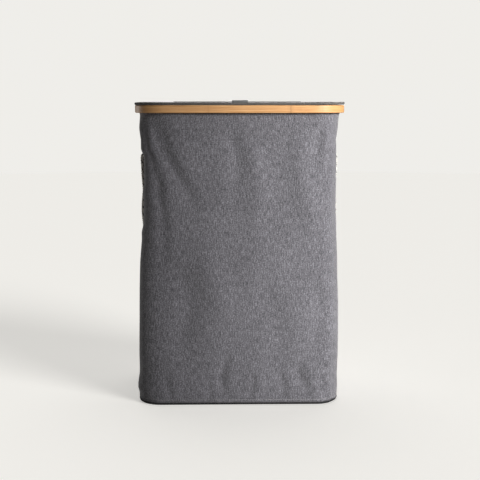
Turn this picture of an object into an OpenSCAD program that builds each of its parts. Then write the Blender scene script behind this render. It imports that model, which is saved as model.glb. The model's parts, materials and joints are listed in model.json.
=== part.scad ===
// Laundry hamper: a round-cornered fabric bag on a bamboo rim, with corner rods,
// two rope handles and a thin fabric-covered lid on a tape hinge. Millimetres.
// Origin on the floor under the middle. +Z is up and the front faces -Y.

/* [Rim] */
// Outside width of the rim, left to right
rim_w = 414; // [340:2:480]
// Outside depth of the rim, front to back
rim_d = 310; // [260:5:360]
// Height of the rim's top edge over the floor
rim_top = 595; // [480:5:640]
// Outside corner radius of the rim
rim_r = 60; // [56:1:80]
// Height of the bamboo bands
rim_h = 15; // [12:0.5:24]
// Thickness of the outer bamboo band
band_t = 8.5; // [6:0.5:10]
// Thickness of the inner bamboo hoop
hoop_t = 5; // [4:0.5:8]
// Thickness of the folded hem clamped between the two bands
hem_t = 2; // [1:0.5:3]
// Width of each staple crown on the inner hoop
staple_w = 11; // [8:1:14]

/* [Bag] */
// Thickness of the woven wall fabric
wall_t = 1.5; // [1:0.1:2.5]
// Thickness of the lining bonded inside the wall
lining_t = 0.8; // [0.5:0.1:1.2]
// How far each wall sinks in between the corner rods
sag = 3.5; // [0:0.5:8]
// Height of the upturned edge of the bottom panel
foot_h = 5; // [5:0.5:14]
// Height of the piping over the bottom panel
piping_h = 2.4; // [1.6:0.2:4]
// Thickness of the bottom panel fabric
bottom_t = 1.5; // [1:0.1:3]
// Thickness of the stiff base board
board_t = 3; // [2:0.5:5]
// Thickness of the fabric over the base board
base_cover_t = 0.8; // [0.5:0.1:1.5]

/* [Corner rods] */
// Rod diameter
rod_d = 6; // [4:0.5:8]
// Distance of each rod's axis from the rim's corner centre
rod_reach = 44; // [40:0.5:46]
// Thickness of the fabric sleeve around each rod
sleeve_t = 1; // [0.6:0.1:1.5]
// Length of the plastic cap on each rod end
cap_h = 7; // [5:0.5:12]

/* [Rope handles] */
// Rope diameter
rope_d = 7.5; // [6:0.5:10]
// Distance between the two eyelets of one handle
grip_w = 120; // [100:5:150]
// Height of the eyelets over the floor
eyelet_z = 497; // [400:1:540]
// Drop of the rope loop under the eyelets, to its centreline
loop_drop = 165; // [110:5:200]
// Gap between the rope and the eyelet's outside face
rope_gap = 0.5; // [0.3:0.1:2]
// Outside radius of the eyelet flange
eyelet_r = 7.5; // [6.5:0.5:10]
// Radius of the knot behind each eyelet
knot_r = 7.5; // [6:0.5:9]

/* [Lid] */
// Thickness of the lid's stiff board
lid_board_t = 3.2; // [2:0.2:5]
// Thickness of the fabric on each side of the board
lid_cover_t = 0.75; // [0.5:0.05:1.5]
// Thickness of the binding around the lid's edge
binding_t = 1.2; // [0.8:0.1:2]
// How far the lid's edge stands past the rim
lid_over = 0.9; // [0:0.1:3]
// Gap between the rim and the closed lid
lid_gap = 0.3; // [0.3:0.1:1]
// Width of the fabric hinge tape along the back
tape_w = 280; // [150:5:290]
// Thickness of the hinge tape
tape_t = 0.8; // [0.5:0.1:1.2]
// Width of the pull tab
tab_w = 30.6; // [20:0.2:50]
// Length of the pull tab as it lies on the lid
tab_len = 38; // [25:1:60]
// Height of the pull tab's loop over the lid
tab_h = 4.4; // [3:0.2:8]

/* [Hidden] */
$fn = 64;
hx = rim_w / 2;
hy = rim_d / 2;
cx = hx - rim_r;
cy = hy - rim_r;
rim_z = rim_top - rim_h;
wall_z = foot_h + piping_h;
k = rim_top / 595;
rod_x = cx + rod_reach * 0.70711;
rod_y = cy + rod_reach * 0.70711;
base_z = bottom_t + board_t + base_cover_t;
lid_z = rim_top + lid_gap;
lid_t = lid_board_t + 2 * lid_cover_t;
lid_top = lid_z + lid_t;
lid_r = rim_r + lid_over;
hinge_y = hy + 5;
hinge_z = rim_top;
tab_y = -hy + 4.5;
tab_z = lid_top + 1;
arc_n = 8;
side_n = 6;
ring_n = 4 * (arc_n + side_n);

// How far the wall stands inside the rim's outside line, by height
drop_at = [
    [0, 9], [1, 7.2], [3, 5.8], [7, 5], [10, 5], [26, 4.6], [52, 6], [102, 6.5],
    [205, 7.8], [287, 9.5], [345, 11.4], [408, 12.3], [528, 14.1],
    [551, 12], [575, 10.5], [580, 8.5]
];
// How much tighter the corner is than the rim's corner, by height
tighter_at = [
    [0, 14], [3, 10.8], [10, 10], [205, 12], [345, 17], [408, 20], [528, 26.5],
    [551, 20.5], [575, 14], [580, 8.5]
];

function half_w(z) = hx - lookup(z / k, drop_at);
function half_d(z) = hy - lookup(z / k, drop_at);
function corner_r(z) = rim_r - lookup(z / k, tighter_at);
function rise(z) = max(0, min(1, (z - wall_z) / (rim_z - wall_z)));
function sink(z) = sag * pow(max(0, sin(180 * rise(z))), 0.6);

// One closed outline of the bag at height z, set in by e, counter-clockwise from +X
function outline(z, e) = [
    for (q = [0:3])
    let (
        r = corner_r(z) - e,
        ax = half_w(z) - e - r,
        ay = half_d(z) - e - r,
        sx = (q == 0 || q == 3) ? 1 : -1,
        sy = (q < 2) ? 1 : -1,
        run = (q % 2 == 0) ? ax : ay,
        d = 90 * (q + 1)
    )
    each [
        for (i = [0:arc_n + side_n - 1])
        (i <= arc_n)
            ? [
                sx * ax + r * cos(90 * q + 90 * i / arc_n),
                sy * ay + r * sin(90 * q + 90 * i / arc_n),
                z
            ]
            : let (
                t = (i - arc_n) / side_n,
                s = sink(z) * 4 * t * (1 - t)
            )
            [
                sx * ax + (r - s) * cos(d) - 2 * run * t * sin(d),
                sy * ay + (r - s) * sin(d) + 2 * run * t * cos(d),
                z
            ]
    ]
];

// Outside face of the right wall at y and z, on the straight run between the corners
function wall_x(y, z) =
    let (run = half_d(z) - corner_r(z), t = y / run)
    half_w(z) - sink(z) * (1 - t * t);

// A closed tube between the outlines set in by e0 and e1, through the given heights
module tube(levels, e0, e1) {
    m = len(levels);
    n = ring_n;
    pts = concat(
        [for (z = levels) each outline(z, e0)],
        [for (z = levels) each outline(z, e1)]
    );
    outer = [
        for (i = [0:m - 2])
        for (j = [0:n - 1])
        let (a = i * n + j, b = i * n + (j + 1) % n)
        each [[a, a + n, b + n], [a, b + n, b]]
    ];
    inner = [
        for (i = [0:m - 2])
        for (j = [0:n - 1])
        let (a = m * n + i * n + j, b = m * n + i * n + (j + 1) % n)
        each [[a, b + n, a + n], [a, b, b + n]]
    ];
    ends = [
        for (j = [0:n - 1])
        let (
            a = j,
            b = (j + 1) % n,
            t = (m - 1) * n
        )
        each [
            [a, b, m * n + b],
            [a, m * n + b, m * n + a],
            [t + a, m * n + t + b, t + b],
            [t + a, m * n + t + a, m * n + t + b]
        ]
    ];
    polyhedron(points = pts, faces = concat(outer, inner, ends), convexity = 6);
}

// A closed solid through the outlines at the given heights, set in by e
module block(levels, e) {
    m = len(levels);
    n = ring_n;
    pts = concat(
        [for (z = levels) each outline(z, e)],
        [[0, 0, levels[0]], [0, 0, levels[m - 1]]]
    );
    sides = [
        for (i = [0:m - 2])
        for (j = [0:n - 1])
        let (a = i * n + j, b = i * n + (j + 1) % n)
        each [[a, a + n, b + n], [a, b + n, b]]
    ];
    caps = [
        for (j = [0:n - 1])
        let (b = (j + 1) % n, t = (m - 1) * n)
        each [[j, b, m * n], [t + b, t + j, m * n + 1]]
    ];
    polyhedron(points = pts, faces = concat(sides, caps), convexity = 4);
}

// A round-cornered plate with half sizes ax and ay and corner radius r
module plate(ax, ay, r, h) {
    linear_extrude(h) {
        square([2 * ax, 2 * (ay - r)], center = true);
        square([2 * (ax - r), 2 * ay], center = true);
        for (sx = [-1, 1]) {
            for (sy = [-1, 1]) {
                translate([sx * (ax - r), sy * (ay - r)])
                    circle(r);
            }
        }
    }
}

// Carries a profile around the rim's line; its x is the distance from the corner centre
module around() {
    for (q = [0:3]) {
        a = (q % 2 == 0) ? cx : cy;
        b = (q % 2 == 0) ? cy : cx;
        rotate([0, 0, 90 * q]) {
            translate([a, b, 0])
                rotate_extrude(angle = 90)
                    children();
            translate([-a, b, 0])
                rotate([90, 0, 90])
                    linear_extrude(2 * a)
                        children();
        }
    }
}

// A box-section profile with small flats on its outer and inner edges
module bar_profile(r0, r1, z0, z1, c0, c1) {
    polygon([
        [r0 + c0, z0], [r1 - c1, z0], [r1, z0 + c1], [r1, z1 - c1],
        [r1 - c1, z1], [r0 + c0, z1], [r0, z1 - c0], [r0, z0 + c0]
    ]);
}

wall_levels = [
    wall_z, 26 * k, 52 * k, 102 * k, 205 * k, 287 * k, 345 * k,
    408 * k, 470 * k, 528 * k, 551 * k, 575 * k, rim_z
];

module side_holes(r) {
    for (sx = [-1, 1]) {
        for (sy = [-1, 1]) {
            translate([sx * (hx - 25), sy * grip_w / 2, eyelet_z])
                rotate([0, 90, 0])
                    cylinder(r = r, h = 40, center = true);
        }
    }
}

module on_eyelets(side) {
    for (sy = [-1, 1]) {
        translate([0, sy * grip_w / 2, eyelet_z])
            rotate([0, side * 90, 0])
                children();
    }
}

eye_x = wall_x(grip_w / 2, eyelet_z);
rope_x = eye_x + 0.85 + rope_gap + rope_d / 2;

module rim_outer_band() {
    color([0.78, 0.60, 0.40])
        around()
            bar_profile(rim_r - band_t, rim_r, rim_z, rim_top, 0.3, 1.2);
}

module rim_inner_hoop() {
    r1 = rim_r - band_t - hem_t;
    color([0.78, 0.60, 0.40])
        around()
            bar_profile(r1 - hoop_t, r1, rim_z, rim_top, 0.8, 0.3);
}

module rim_staples() {
    y = cy + rim_r - band_t - hem_t - hoop_t;
    x = cx + rim_r - band_t - hem_t - hoop_t;
    color([0.70, 0.71, 0.72]) {
        for (s = [-1, 1]) {
            for (i = [-1:1]) {
                translate([i * cx * 0.75, s * (y - 0.35), rim_top - rim_h / 2])
                    cube([staple_w, 0.7, 1.3], center = true);
            }
            translate([s * (x - 0.35), 0, rim_top - rim_h / 2])
                cube([0.7, staple_w, 1.3], center = true);
        }
    }
}

module bag_hem() {
    r1 = rim_r - band_t;
    color([0.40, 0.39, 0.40])
        around()
            bar_profile(r1 - hem_t, r1, rim_z, rim_top - 0.6, 0, 0.2);
}

module bag_wall() {
    difference() {
        tube(wall_levels, 0, wall_t);
        side_holes(5);
    }
}

module bag_front_wrap() {
    color([0.44, 0.43, 0.44])
        intersection() {
            bag_wall();
            translate([-hx, -hy, 0])
                cube([2 * hx, hy + cy, rim_top]);
        }
}

module bag_back_panel() {
    color([0.44, 0.43, 0.44])
        intersection() {
            bag_wall();
            translate([-hx, cy, 0])
                cube([2 * hx, hy - cy, rim_top]);
        }
}

module bag_lining() {
    color([0.80, 0.78, 0.74])
        difference() {
            tube(wall_levels, wall_t, wall_t + lining_t);
            side_holes(5);
        }
}

module bag_bottom_panel() {
    color([0.20, 0.20, 0.21])
        difference() {
            block([0, 1, 3, foot_h], 0);
            translate([0, 0, bottom_t])
                block([0, 1, 3, foot_h], bottom_t);
        }
}

module bag_bottom_piping() {
    e = 1.6;
    z = foot_h + piping_h / 2;
    ax = half_w(z);
    ay = half_d(z);
    r = corner_r(z);
    color([0.30, 0.30, 0.31])
        translate([0, 0, foot_h])
            difference() {
                plate(ax + 0.7, ay + 0.7, r + 0.7, piping_h);
                translate([0, 0, -1])
                    plate(ax - e, ay - e, r - e, piping_h + 2);
            }
}

module base_board() {
    color([0.55, 0.46, 0.36])
        translate([0, 0, bottom_t])
            plate(hx - 10.5, hy - 10.5, rim_r - 15, board_t);
}

module base_cover() {
    color([0.80, 0.78, 0.74])
        translate([0, 0, bottom_t + board_t])
            plate(hx - 10.5, hy - 10.5, rim_r - 15, base_cover_t);
}

module rod(sx, sy) {
    color([0.75, 0.76, 0.78])
        translate([sx * rod_x, sy * rod_y, base_z + 1.5])
            cylinder(d = rod_d, h = rim_z - base_z - 3);
}

module sleeve(sx, sy) {
    color([0.80, 0.78, 0.74])
        translate([sx * rod_x, sy * rod_y, base_z + cap_h + 2])
            difference() {
                cylinder(r = rod_d / 2 + sleeve_t, h = rim_z - base_z - 2 * cap_h - 4);
                translate([0, 0, -1])
                    cylinder(d = rod_d, h = rim_z);
            }
}

module rod_front_left() {
    rod(-1, -1);
}

module rod_front_right() {
    rod(1, -1);
}

module rod_back_left() {
    rod(-1, 1);
}

module rod_back_right() {
    rod(1, 1);
}

module sleeve_front_left() {
    sleeve(-1, -1);
}

module sleeve_front_right() {
    sleeve(1, -1);
}

module sleeve_back_left() {
    sleeve(-1, 1);
}

module sleeve_back_right() {
    sleeve(1, 1);
}

module rod_foot_caps() {
    color([0.16, 0.16, 0.17]) {
        for (sx = [-1, 1]) {
            for (sy = [-1, 1]) {
                translate([sx * rod_x, sy * rod_y, base_z])
                    difference() {
                        cylinder(r = rod_d / 2 + 1.4, h = cap_h);
                        translate([0, 0, 1.5])
                            cylinder(d = rod_d, h = cap_h);
                    }
            }
        }
    }
}

module rod_top_caps() {
    color([0.16, 0.16, 0.17]) {
        for (sx = [-1, 1]) {
            for (sy = [-1, 1]) {
                translate([sx * rod_x, sy * rod_y, rim_z - cap_h])
                    difference() {
                        cylinder(r = rod_d / 2 + 0.8, h = cap_h);
                        translate([0, 0, -1.5])
                            cylinder(d = rod_d, h = cap_h);
                    }
            }
        }
    }
}

module eyelet_pair(side) {
    color([0.72, 0.72, 0.73])
        on_eyelets(side)
            difference() {
                union() {
                    translate([0, 0, eye_x + 0.25])
                        cylinder(r = eyelet_r, h = 0.6);
                    translate([0, 0, eye_x - wall_t - lining_t - 1.3])
                        cylinder(r = 5, h = wall_t + lining_t + 1.6);
                }
                translate([0, 0, eye_x - 10])
                    cylinder(r = 4.3, h = 20);
            }
}

module eyelets_left() {
    eyelet_pair(-1);
}

module eyelets_right() {
    eyelet_pair(1);
}

module washer_pair(side) {
    color([0.72, 0.72, 0.73])
        on_eyelets(side)
            translate([0, 0, eye_x - wall_t - lining_t - 1.05])
                difference() {
                    cylinder(r = eyelet_r + 0.5, h = 0.8);
                    translate([0, 0, -1])
                        cylinder(r = 5, h = 3);
                }
}

module eyelet_washers() {
    washer_pair(-1);
    washer_pair(1);
}

module knot_pair(side) {
    reach = eye_x - wall_t - lining_t - 1.4 - knot_r;
    color([0.86, 0.83, 0.77])
        on_eyelets(side) {
            translate([0, 0, reach])
                sphere(r = knot_r);
            translate([0, 0, reach])
                cylinder(r = rope_d / 2 - 0.15, h = rope_x - rope_d / 2 - 0.2 - reach);
        }
}

module rope_knots_left() {
    knot_pair(-1);
}

module rope_knots_right() {
    knot_pair(1);
}

module rope_loop(side) {
    half = grip_w / 2;
    color([0.86, 0.83, 0.77])
        translate([side * rope_x, 0, eyelet_z]) {
            for (sy = [-1, 1]) {
                translate([0, sy * half, half - loop_drop])
                    cylinder(d = rope_d, h = loop_drop - half);
                translate([0, sy * half, 0])
                    sphere(d = rope_d);
            }
            translate([0, 0, half - loop_drop])
                rotate([90, 0, 90])
                    rotate([0, 0, 180])
                        rotate_extrude(angle = 180)
                            translate([half, 0])
                                circle(d = rope_d);
        }
}

module rope_handle_left() {
    rope_loop(-1);
}

module rope_handle_right() {
    rope_loop(1);
}

module lid_board() {
    e = binding_t - lid_over;
    color([0.60, 0.50, 0.38])
        translate([0, 0, lid_z + lid_cover_t])
            plate(hx - e, hy - e, rim_r - e, lid_board_t);
}

module lid_bottom_cover() {
    e = binding_t - lid_over;
    color([0.44, 0.43, 0.44])
        translate([0, 0, lid_z])
            plate(hx - e, hy - e, rim_r - e, lid_cover_t);
}

module lid_top_cover() {
    e = binding_t - lid_over;
    color([0.44, 0.43, 0.44])
        translate([0, 0, lid_top - lid_cover_t])
            plate(hx - e, hy - e, rim_r - e, lid_cover_t);
}

module lid_binding() {
    color([0.38, 0.37, 0.38])
        around()
            bar_profile(lid_r - binding_t, lid_r, lid_z, lid_top, 0, 0.5);
}

module lid_pull_tab() {
    color([0.52, 0.53, 0.53])
        translate([-tab_w / 2, tab_y, tab_z])
            rotate([90, 0, 90])
                linear_extrude(tab_w)
                    difference() {
                        hull() {
                            circle(r = 0.8, $fn = 24);
                            translate([tab_len - tab_h / 2, tab_h / 2 - 0.8])
                                circle(r = tab_h / 2, $fn = 32);
                        }
                        hull() {
                            translate([7, 0.1])
                                circle(r = 0.15, $fn = 16);
                            translate([tab_len - tab_h / 2, tab_h / 2 - 0.8])
                                circle(r = tab_h / 2 - 0.8, $fn = 32);
                        }
                    }
}

module hinge_tape_rim() {
    color([0.38, 0.37, 0.38]) {
        translate([-tape_w / 2, hy, rim_z + 2])
            cube([tape_w, tape_t, rim_h - 3.6]);
        translate([-tape_w / 2, hy + tape_t, rim_top - 2.4])
            cube([tape_w, 3, tape_t]);
    }
}

module hinge_tape_lid() {
    color([0.38, 0.37, 0.38])
        translate([-tape_w / 2, cy + lid_r, lid_z + 0.05])
            cube([tape_w, hinge_y - cy - lid_r - 0.6, tape_t]);
}

rim_outer_band();
rim_inner_hoop();
rim_staples();
bag_hem();
bag_front_wrap();
bag_back_panel();
bag_lining();
bag_bottom_panel();
bag_bottom_piping();
base_board();
base_cover();
rod_front_left();
rod_front_right();
rod_back_left();
rod_back_right();
sleeve_front_left();
sleeve_front_right();
sleeve_back_left();
sleeve_back_right();
rod_foot_caps();
rod_top_caps();
eyelets_left();
eyelets_right();
eyelet_washers();
rope_knots_left();
rope_knots_right();
rope_handle_left();
rope_handle_right();
hinge_tape_rim();
hinge_tape_lid();
lid_board();
lid_top_cover();
lid_bottom_cover();
lid_binding();
lid_pull_tab();
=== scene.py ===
import json
import math

import bpy
import numpy as np
from mathutils import Euler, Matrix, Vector, noise

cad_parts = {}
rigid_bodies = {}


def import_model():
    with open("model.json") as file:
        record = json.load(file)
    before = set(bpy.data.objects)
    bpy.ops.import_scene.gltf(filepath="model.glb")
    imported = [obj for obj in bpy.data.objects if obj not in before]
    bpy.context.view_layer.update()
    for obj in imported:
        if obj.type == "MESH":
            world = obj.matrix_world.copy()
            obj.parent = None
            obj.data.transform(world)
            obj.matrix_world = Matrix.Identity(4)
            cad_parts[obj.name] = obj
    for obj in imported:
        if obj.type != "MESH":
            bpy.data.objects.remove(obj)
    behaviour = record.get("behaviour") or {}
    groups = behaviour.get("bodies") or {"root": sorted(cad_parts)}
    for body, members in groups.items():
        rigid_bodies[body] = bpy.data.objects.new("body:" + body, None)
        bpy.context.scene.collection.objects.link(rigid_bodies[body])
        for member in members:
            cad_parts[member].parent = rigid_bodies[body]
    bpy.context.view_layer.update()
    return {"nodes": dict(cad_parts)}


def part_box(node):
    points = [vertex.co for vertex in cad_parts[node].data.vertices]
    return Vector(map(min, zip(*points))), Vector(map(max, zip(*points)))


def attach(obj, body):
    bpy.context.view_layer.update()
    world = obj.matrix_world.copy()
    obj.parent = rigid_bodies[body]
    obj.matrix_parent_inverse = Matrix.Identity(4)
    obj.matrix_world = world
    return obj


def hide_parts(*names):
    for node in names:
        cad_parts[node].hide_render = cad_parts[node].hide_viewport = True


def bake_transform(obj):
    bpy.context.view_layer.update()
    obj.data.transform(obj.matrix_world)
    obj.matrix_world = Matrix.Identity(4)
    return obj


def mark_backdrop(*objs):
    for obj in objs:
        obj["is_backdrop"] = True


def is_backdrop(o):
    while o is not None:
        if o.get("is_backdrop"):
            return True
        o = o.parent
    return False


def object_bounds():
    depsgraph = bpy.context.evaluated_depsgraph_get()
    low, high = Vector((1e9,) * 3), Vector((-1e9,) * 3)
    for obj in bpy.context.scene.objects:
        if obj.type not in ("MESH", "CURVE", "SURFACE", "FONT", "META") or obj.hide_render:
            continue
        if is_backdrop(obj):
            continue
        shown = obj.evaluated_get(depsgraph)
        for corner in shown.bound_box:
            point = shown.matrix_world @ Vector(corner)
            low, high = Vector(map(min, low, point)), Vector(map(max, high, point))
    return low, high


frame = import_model()
MM = 0.001
CLOTH = 1.3

# ---------------------------------------------------------------- sizes taken from the frame
RIM_LO, RIM_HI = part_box("rim_outer_band")
LID_LO, LID_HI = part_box("lid_binding")
BOTTOM_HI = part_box("bag_bottom_panel")[1]
HX, HY = RIM_HI[0] / MM, RIM_HI[1] / MM
RIM_Z0, RIM_Z1 = RIM_LO[2] / MM, RIM_HI[2] / MM
RIM_R = 60.0
BAND = 8.5
HEM = 2.0
HOOP = 5.0
CX, CY = HX - RIM_R, HY - RIM_R
FOOT_Z = BOTTOM_HI[2] / MM
WALL_Z0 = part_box("bag_front_wrap")[0][2] / MM
EYE_Z = 497.0
GRIP = 60.0
LOOP_DROP = 165.0
ROPE_D = 7.5
ROPE_X = (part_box("rope_handle_right")[0][0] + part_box("rope_handle_right")[1][0]) / 2 / MM
EYE_X = ROPE_X - ROPE_D / 2 - 0.5 - 0.85


# ---------------------------------------------------------------- camera
CAM_DISTANCE = 2150.0
CAM_RISE = 13.0
CAM_SHIFT = 0.0027
YAW = math.radians(1.3)
TILT = math.radians(7.285)
cam_data = bpy.data.cameras.new("camera")
cam_data.lens = 83.06
cam_data.sensor_width = 36.0
cam = bpy.data.objects.new("camera", cam_data)
bpy.context.scene.collection.objects.link(cam)
cam.location = (
    -math.sin(YAW) * (CAM_DISTANCE + HY) * MM + CAM_SHIFT,
    -math.cos(YAW) * (CAM_DISTANCE + HY) * MM,
    (RIM_Z1 + CAM_RISE) * MM,
)
cam.rotation_euler = Euler((math.pi / 2 - TILT, 0, -YAW), "XYZ")
cam_data.clip_end = 60
bpy.context.scene.camera = cam


# ---------------------------------------------------------------- material helpers
class Tree:
    """A small writer for shader nodes: t(type, socket=value, ...) adds a node."""

    def __init__(self, name):
        self.mat = bpy.data.materials.new(name)
        self.mat.use_nodes = True
        self.nt = self.mat.node_tree
        self.nt.nodes.clear()
        self.out = self.nt.nodes.new("ShaderNodeOutputMaterial")

    def __call__(self, kind, props=None, **sockets):
        n = self.nt.nodes.new("ShaderNode" + kind)
        for k, v in (props or {}).items():
            setattr(n, k, v)
        for k, v in sockets.items():
            key = int(k[1:]) if k[0] == "_" else k.replace("_", " ")
            self.put(n.inputs[key], v)
        return n

    def put(self, socket, value):
        """Links the socket to a node's output, or sets the socket's own value."""
        if isinstance(value, bpy.types.NodeSocket):
            self.nt.links.new(value, socket)
        elif socket.type == "RGBA" and len(value) == 3:
            socket.default_value = (*value, 1)
        else:
            socket.default_value = value

    def math(self, op, a, b=0.0, c=0.0):
        return self("Math", {"operation": op}, _0=a, _1=b, _2=c).outputs[0]

    def add(self, *parts):
        """The weighted sum of (value, weight) pairs."""
        total = 0.0
        for value, weight in parts:
            total = self.math("MULTIPLY_ADD", value, weight, total)
        return total

    def vec(self, scale):
        """The UV coordinates, in metres, times scale."""
        uv = self("UVMap", {"uv_map": "metres"}).outputs[0]
        return self("VectorMath", {"operation": "MULTIPLY"}, _0=uv, _1=scale).outputs[0]

    def obj(self, scale):
        """The object coordinates, in metres, times scale."""
        co = self("TexCoord").outputs["Object"]
        return self("VectorMath", {"operation": "MULTIPLY"}, _0=co, _1=scale).outputs[0]

    def flat(self, u, v, detail, rough):
        """Noise over the UVs: u and v are its grains per metre."""
        n = self("TexNoise", {"noise_dimensions": "2D"}, Vector=self.vec((u, v, 0)), Scale=1.0,
                 Detail=detail, Roughness=rough)
        return n.outputs[0]

    def solid(self, scale, detail, rough):
        """Noise through the object: scale is its grains per metre each way."""
        n = self("TexNoise", Vector=self.obj(scale), Scale=1.0, Detail=detail, Roughness=rough)
        return n.outputs[0]

    def bands(self, axis, scale):
        n = self("TexWave", {"bands_direction": axis}, Vector=self.vec(scale), Scale=0.5)
        return n.outputs[1]

    def ramp(self, fac, *stops):
        n = self("ValToRGB", Fac=fac)
        el = n.color_ramp.elements
        while len(el) < len(stops):
            el.new(0.5)
        for e, (pos, col) in zip(el, stops):
            e.position = pos
            e.color = (*col, 1)
        return n.outputs[0]

    def grey(self, fac, lo, hi, a=0.0, b=1.0):
        return self("MapRange", _0=fac, _1=lo, _2=hi, _3=a, _4=b).outputs[0]

    def tones(self, fac, lo, hi, dark, light):
        """Goes from dark to light while fac goes from lo to hi."""
        return self.ramp(self.grey(fac, lo, hi), (0.0, dark), (1.0, light))

    def mix(self, fac, a, b, mode="MIX"):
        n = self("Mix", {"data_type": "RGBA", "blend_type": mode}, _0=fac, _6=a, _7=b)
        return n.outputs[2]

    def bump(self, height, strength, distance, normal=None):
        n = self("Bump", Height=height, Strength=strength, Distance=distance)
        if normal is not None:
            self.put(n.inputs["Normal"], normal)
        return n.outputs[0]

    def finish(self, color, rough, normal=None, **more):
        n = self("BsdfPrincipled", Base_Color=color, Roughness=rough, **more)
        if normal is not None:
            self.put(n.inputs["Normal"], normal)
        self.put(self.out.inputs[0], n.outputs[0])
        return self.mat


def shade(color, k):
    return tuple(min(1.0, c * k) for c in color)


def weave(name, dark, mid, light, pitch=0.0011, streak=1.0, sheen=0.25, rough=0.92):
    """Plain-woven heather cloth: long warp streaks, short weft flecks and a yarn grid."""
    t = Tree(name)
    long_streaks = t.flat(560, 80, 1.0, 0.6)
    fine_streaks = t.flat(640, 340, 1.0, 0.5)
    weft = t.flat(300, 620, 1.0, 0.5)
    patches = t.flat(110, 66, 2.0, 0.6)
    cloud = t.flat(14, 9, 3.0, 0.55)
    parts = ((long_streaks, 0.42 * streak), (fine_streaks, 0.45 * streak), (weft, 0.28 * streak),
             (patches, 0.10 * streak), (cloud, 0.08))
    total = sum(weight for _, weight in parts)
    tone = t.grey(t.add(*parts), total * 0.36, total * 0.64)
    base = t.ramp(tone, (0.0, dark), (0.48, mid), (1.0, light))
    k = 1.0 / (3.1416 * pitch)
    grid = t.math("MULTIPLY", t.bands("X", (k, 0, 0)), t.bands("Y", (0, k, 0)))
    level = t.grey(grid, 0.0, 1.0, 0.90, 1.06)
    level = t("CombineColor", Red=level, Green=level, Blue=level).outputs[0]
    lit = t.mix(1.0, base, level, "MULTIPLY")
    h = t.math("MULTIPLY_ADD", fine_streaks, 0.8, grid)
    n = t.bump(h, 0.35, 0.0003)
    n = t.bump(cloud, 0.10, 0.002, n)
    return t.finish(lit, rough, n, Sheen_Weight=sheen, Sheen_Roughness=0.6,
                    Specular_IOR_Level=0.2)


def plain_cloth(name, color, pitch=0.0008, vary=0.10, rough=0.9, sheen=0.2):
    """Plain smooth cloth with a fine yarn grid and slight unevenness, by object place."""
    t = Tree(name)
    cloud = t.solid((28, 28, 28), 4.0, 0.6)
    slub = t.solid((700, 700, 160), 2.0, 0.6)
    fac = t.add((cloud, 0.45), (slub, 0.55))
    base = t.tones(fac, 0.36, 0.64, shade(color, 1 - vary), shade(color, 1 + vary))
    k = 1.0 / pitch
    tex = t("TexVoronoi", {"feature": "F1"}, Vector=t.obj((k, k, k)), Scale=1.0).outputs[0]
    n = t.bump(tex, 0.25, 0.00025)
    n = t.bump(cloud, 0.15, 0.003, n)
    return t.finish(base, rough, n, Sheen_Weight=sheen, Sheen_Roughness=0.5,
                    Specular_IOR_Level=0.25)


def bamboo(name, nodes_at, tone=1.0):
    """Carbonised bamboo strip: fibres run along u, with a faint joint every so often."""
    t = Tree(name)
    fibre = t.flat(26, 2600, 4.0, 0.65)
    broad = t.flat(7, 420, 3.0, 0.55)
    dashes = t.flat(120, 3600, 2.0, 0.5)
    tone_fac = t.grey(t.add((fibre, 0.45), (broad, 0.40), (dashes, 0.15)), 0.34, 0.66)
    dark = shade((0.31, 0.145, 0.050), tone)
    mid = shade((0.44, 0.234, 0.094), tone)
    light = shade((0.56, 0.332, 0.152), tone)
    base = t.ramp(tone_fac, (0.0, dark), (0.5, mid), (1.0, light))
    u = t("SeparateXYZ", Vector=t.vec((1, 1, 1))).outputs[0]
    wob = t.flat(30, 260, 2.0, 0.5)
    mark = None
    for at, strength in nodes_at:
        d = t.math("SUBTRACT", t.math("MULTIPLY_ADD", wob, 0.0016, u), at + 0.0008)
        d = t.math("ABSOLUTE", d)
        m = t.math("MULTIPLY", t.grey(d, 0.0004, 0.0018, 1.0, 0.0), strength)
        halo = t.math("MULTIPLY", t.grey(d, 0.001, 0.008, 1.0, 0.0), strength * 0.35)
        m = t.math("MAXIMUM", m, halo)
        mark = m if mark is None else t.math("MAXIMUM", mark, m)
    base = t.mix(mark, base, shade((0.25, 0.12, 0.045), tone))
    h = t.math("MULTIPLY_ADD", mark, -1.2, fibre)
    n = t.bump(h, 0.22, 0.0003)
    rough = t.grey(fibre, 0.3, 0.7, 0.42, 0.55)
    return t.finish(base, rough, n, Coat_Weight=0.04, Coat_Roughness=0.3,
                    Specular_IOR_Level=0.33)


def brushed(name, color, scale=(900, 900, 30), rough=(0.28, 0.42)):
    t = Tree(name)
    s = t.solid(scale, 3.0, 0.6)
    base = t.tones(s, 0.3, 0.7, shade(color, 0.82), color)
    return t.finish(base, t.grey(s, 0.3, 0.7, rough[0], rough[1]), t.bump(s, 0.12, 0.0002),
                    Metallic=1.0)


def plastic(name, color):
    t = Tree(name)
    s = t.solid((1500, 1500, 1500), 2.0, 0.6)
    base = t.tones(s, 0.3, 0.7, shade(color, 0.85), color)
    return t.finish(base, 0.52, t.bump(s, 0.2, 0.0001), Specular_IOR_Level=0.45)


def board(name, color):
    t = Tree(name)
    s = t.solid((900, 900, 900), 4.0, 0.7)
    c = t.solid((18, 18, 18), 3.0, 0.5)
    fac = t.add((c, 0.4), (s, 0.6))
    base = t.tones(fac, 0.35, 0.65, shade(color, 0.75), shade(color, 1.15))
    return t.finish(base, 0.85, t.bump(s, 0.3, 0.0002))


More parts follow.
